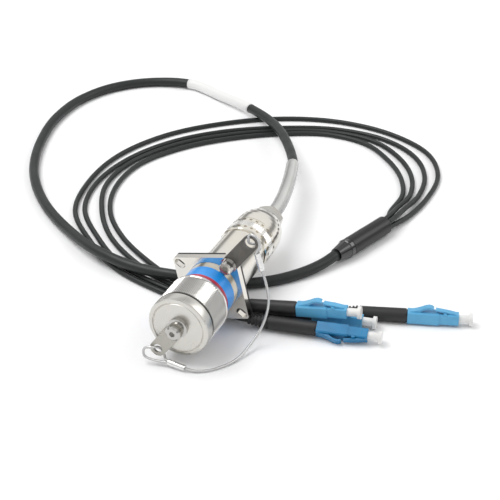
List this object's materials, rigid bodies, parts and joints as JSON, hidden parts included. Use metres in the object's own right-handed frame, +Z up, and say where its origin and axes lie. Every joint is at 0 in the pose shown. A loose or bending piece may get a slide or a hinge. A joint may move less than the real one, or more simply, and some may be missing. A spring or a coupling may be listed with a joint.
{
  "type": "fibre optic receptacle pigtail",
  "caption": "Flange-mounted round fibre receptacle with a screwed dust cap on a lanyard, a cable, a fan-out and latched small-form-factor plugs.",
  "frame": {"origin": "on the connector axis, in the plane where the gasket meets the panel", "axes": "+Y along the connector axis from the mating end to the cable end, +Z up, +X to the right as seen along +Y"},
  "size_m": [0.26, 0.2488, 0.0489],
  "materials": {
    "nickel": "bright nickel plate",
    "cap_nickel": "satin nickel plate with a fine diamond knurl",
    "blue_band": "gloss blue",
    "red_band": "gloss red",
    "insert_grey": "moulded",
    "dark_metal": "anodised",
    "terminus": "machined",
    "rubber_black": "moulded",
    "steel": "stainless",
    "link_plate": "dark grained plate",
    "coated_wire": "clear coated wire rope",
    "crimp": "plain",
    "sleeve_grey": "glossy shrunk sleeve",
    "cable_black": "extruded jacket",
    "label_white": "plain sleeve",
    "black_gloss": "moulded",
    "black_matte": "moulded",
    "boot_black": "moulded",
    "plug_blue": "moulded",
    "plug_blue_dark": "moulded",
    "ceramic_white": "polished zirconia",
    "cap_white": "moulded"
  },
  "bodies": {
    "receptacle": {"receptacle_shell": "nickel", "wide_band": "blue_band", "narrow_band": "red_band", "fibre_insert": "insert_grey", "insert_retainer": "dark_metal", "termini": "terminus", "gasket": "rubber_black", "rear_body": "nickel", "coupling_ring": "nickel", "backshell": "nickel", "cable_grommet": "rubber_black", "gland_nut": "nickel", "strain_sleeve": "sleeve_grey", "flange_link": "link_plate", "flange_screw": "steel", "flange_washer": "steel", "flange_nut": "steel", "lanyard_wire": "coated_wire", "flange_crimp": "crimp", "main_cable": "cable_black", "label_sleeve": "label_white", "fanout_cone": "black_gloss", "fanout_body": "black_matte", "thin_cable_1": "cable_black", "thin_cable_2": "cable_black", "thin_cable_3": "cable_black", "thin_cable_4": "cable_black", "plug_1_boot": "boot_black", "plug_1_clip": "plug_blue", "plug_1_housing": "plug_blue", "plug_2_boot": "boot_black", "plug_2_clip": "plug_blue_dark", "plug_2_housing": "plug_blue_dark", "plug_3_boot": "boot_black", "plug_3_clip": "plug_blue", "plug_3_housing": "plug_blue", "plug_4_boot": "boot_black", "plug_4_clip": "plug_blue", "plug_4_housing": "plug_blue"},
    "cap_carrier": {"cap_link": "link_plate", "cap_crimp": "crimp"},
    "cap": {"dust_cap": "cap_nickel", "cap_seal": "rubber_black", "cap_post": "steel", "cap_screw": "steel"},
    "plug_1_ferrule_body": {"plug_1_ferrule": "ceramic_white"},
    "plug_1_cap_body": {"plug_1_cap": "cap_white"},
    "plug_2_ferrule_body": {"plug_2_ferrule": "ceramic_white"},
    "plug_2_cap_body": {"plug_2_cap": "cap_white"},
    "plug_3_ferrule_body": {"plug_3_ferrule": "ceramic_white"},
    "plug_3_cap_body": {"plug_3_cap": "cap_white"},
    "plug_4_ferrule_body": {"plug_4_ferrule": "ceramic_white"},
    "plug_4_cap_body": {"plug_4_cap": "cap_white"}
  },
  "joints": [
    {"name": "cap_unscrews", "type": "slide", "parent": "receptacle", "child": "cap_carrier", "axis": [0, -1, 0], "range_m": [0, 0.0076], "deforming": ["lanyard_wire"]},
    {"name": "cap_turns", "type": "hinge", "parent": "cap_carrier", "child": "cap", "pos_m": [0, 0, 0], "axis": [0, -1, 0], "range_deg": [0, 360]},
    {"name": "plug_1_cap_pulls_off", "type": "slide", "parent": "receptacle", "child": "plug_1_cap_body", "axis": [0.9853, 0.1472, 0.0872], "range_m": [0, 0.01]},
    {"name": "plug_1_ferrule_yields", "type": "slide", "parent": "receptacle", "child": "plug_1_ferrule_body", "axis": [-0.9853, -0.1472, -0.0872], "range_m": [0, 0.0012], "stiffness_N_per_m": 2000, "springref_m": -0.001},
    {"name": "plug_2_cap_pulls_off", "type": "slide", "parent": "receptacle", "child": "plug_2_cap_body", "axis": [0.9863, 0.165, 0], "range_m": [0, 0.01]},
    {"name": "plug_2_ferrule_yields", "type": "slide", "parent": "receptacle", "child": "plug_2_ferrule_body", "axis": [-0.9863, -0.165, 0], "range_m": [0, 0.0012], "stiffness_N_per_m": 2000, "springref_m": -0.001},
    {"name": "plug_3_cap_pulls_off", "type": "slide", "parent": "receptacle", "child": "plug_3_cap_body", "axis": [0.989, 0.1478, 0], "range_m": [0, 0.01]},
    {"name": "plug_3_ferrule_yields", "type": "slide", "parent": "receptacle", "child": "plug_3_ferrule_body", "axis": [-0.989, -0.1478, 0], "range_m": [0, 0.0012], "stiffness_N_per_m": 2000, "springref_m": -0.001},
    {"name": "plug_4_cap_pulls_off", "type": "slide", "parent": "receptacle", "child": "plug_4_cap_body", "axis": [0.9588, 0.284, 0], "range_m": [0, 0.01]},
    {"name": "plug_4_ferrule_yields", "type": "slide", "parent": "receptacle", "child": "plug_4_ferrule_body", "axis": [-0.9588, -0.284, 0], "range_m": [0, 0.0012], "stiffness_N_per_m": 2000, "springref_m": -0.001}
  ],
  "couplings": [
    {"joint": "cap_turns", "follows": "cap_unscrews", "rad_per_m": 826.7}
  ]
}
